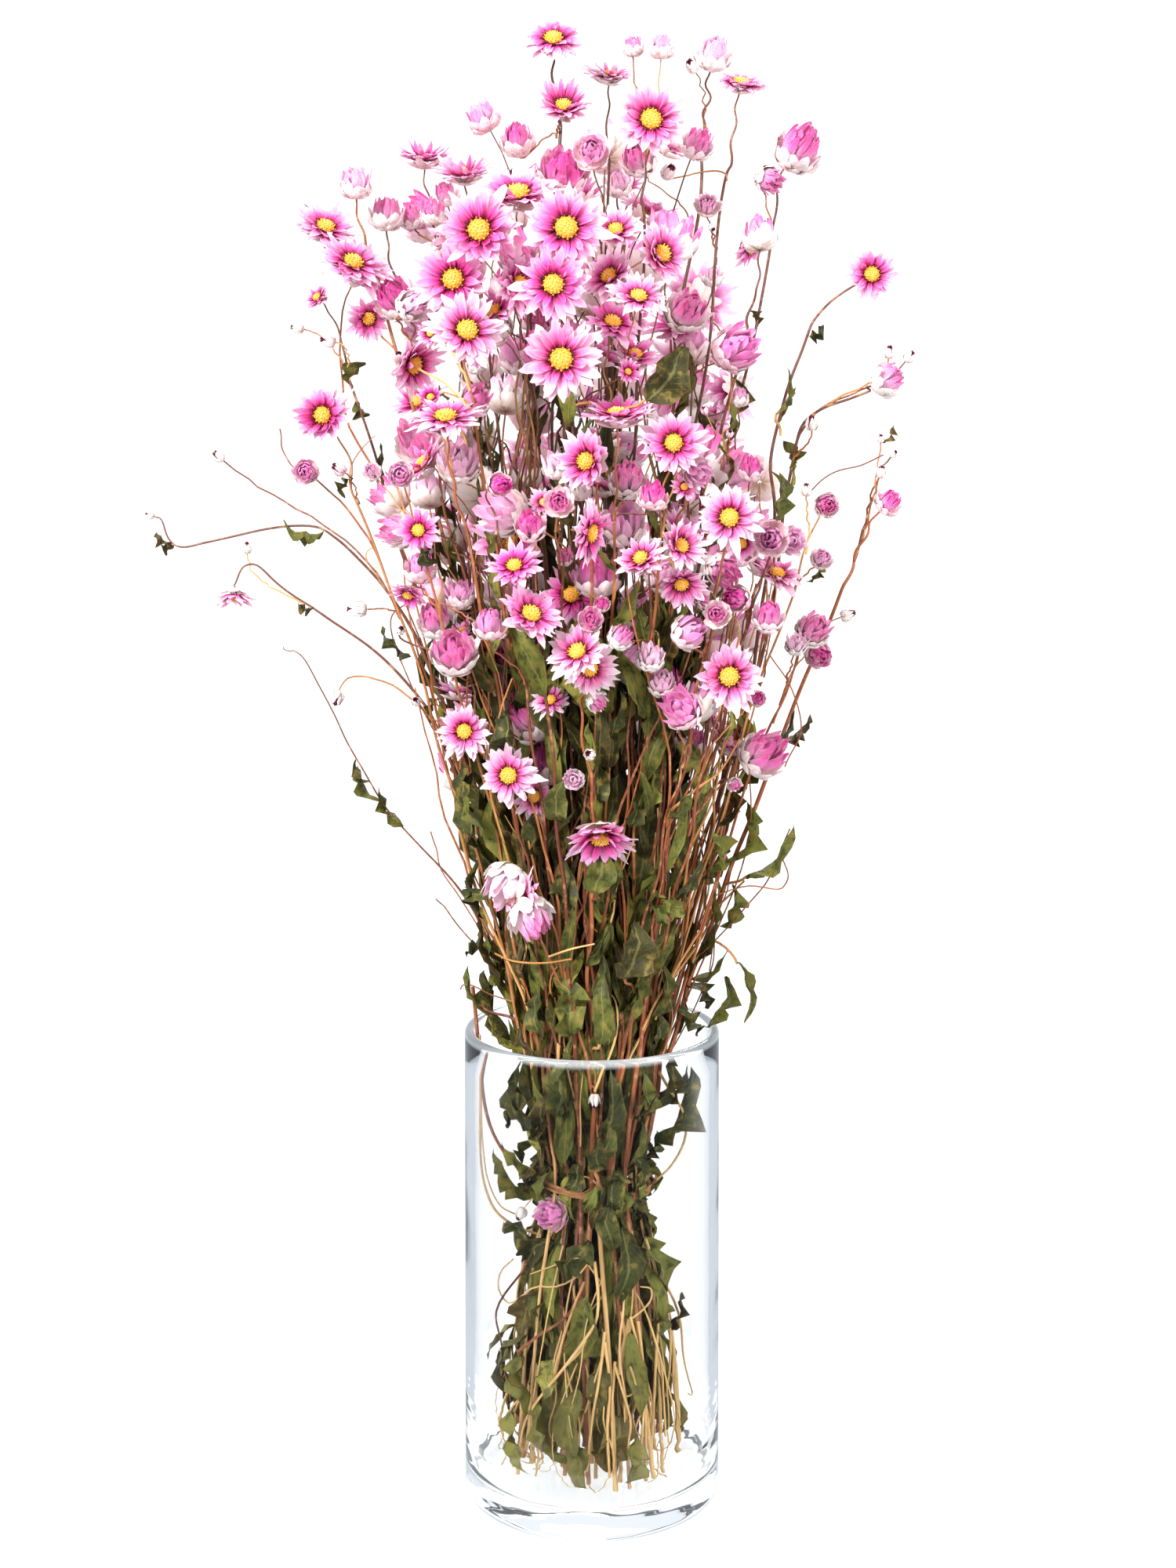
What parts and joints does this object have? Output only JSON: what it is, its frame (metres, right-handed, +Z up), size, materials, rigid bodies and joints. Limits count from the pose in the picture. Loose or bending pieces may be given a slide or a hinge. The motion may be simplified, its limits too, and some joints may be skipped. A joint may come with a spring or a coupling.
{
  "type": "dried rhodanthe bunch in a glass vase",
  "caption": "Bunch of dried pink rhodanthe paper daisies, tied at the waist and standing in a straight clear glass cylinder vase.",
  "frame": {"origin": "middle of the vase's flat underside, on the surface that it stands on", "axes": "+Z up along the vase's axis, -Y towards the front of the bunch, +X to its right"},
  "size_m": [0.3024, 0.1801, 0.578],
  "materials": {
    "clear_glass": "clear, polished",
    "dried_flower": "papery, matt with a faint silk",
    "raffia": "dry fibrous strand"
  },
  "bodies": {
    "root": {"vase": "clear_glass", "tie": "raffia", "flowering_stem_01": "dried_flower", "flowering_stem_02": "dried_flower", "flowering_stems_03_04": "dried_flower", "flowering_stems_05_36": "dried_flower", "flowering_stem_06": "dried_flower", "flowering_stem_07": "dried_flower", "flowering_stems_08_14_15_22": "dried_flower", "flowering_stem_09": "dried_flower", "flowering_stems_10_29_30_31_32_42": "dried_flower", "flowering_stem_11": "dried_flower", "flowering_stem_12": "dried_flower", "flowering_stem_13": "dried_flower", "flowering_stem_16": "dried_flower", "flowering_stem_17": "dried_flower", "flowering_stem_18": "dried_flower", "flowering_stem_19": "dried_flower", "flowering_stem_20": "dried_flower", "flowering_stem_21": "dried_flower", "flowering_stems_23_24_25_27_43_45": "dried_flower", "flowering_stem_26": "dried_flower", "flowering_stem_28": "dried_flower", "flowering_stems_33_34": "dried_flower", "flowering_stems_35_37": "dried_flower", "flowering_stem_38": "dried_flower", "flowering_stem_39": "dried_flower", "flowering_stem_40": "dried_flower", "flowering_stem_41": "dried_flower", "flowering_stem_44": "dried_flower", "flowering_stems_46_47": "dried_flower", "flowering_stem_48": "dried_flower", "flowering_stem_49": "dried_flower", "flowering_stem_50": "dried_flower", "flowering_stem_51": "dried_flower", "flowering_stem_52": "dried_flower", "flowering_stem_53": "dried_flower", "flowering_stem_54": "dried_flower", "flowering_stem_55": "dried_flower", "flowering_stem_56": "dried_flower", "flowering_stem_57": "dried_flower", "flowering_stem_58": "dried_flower"}
  },
  "joints": []
}
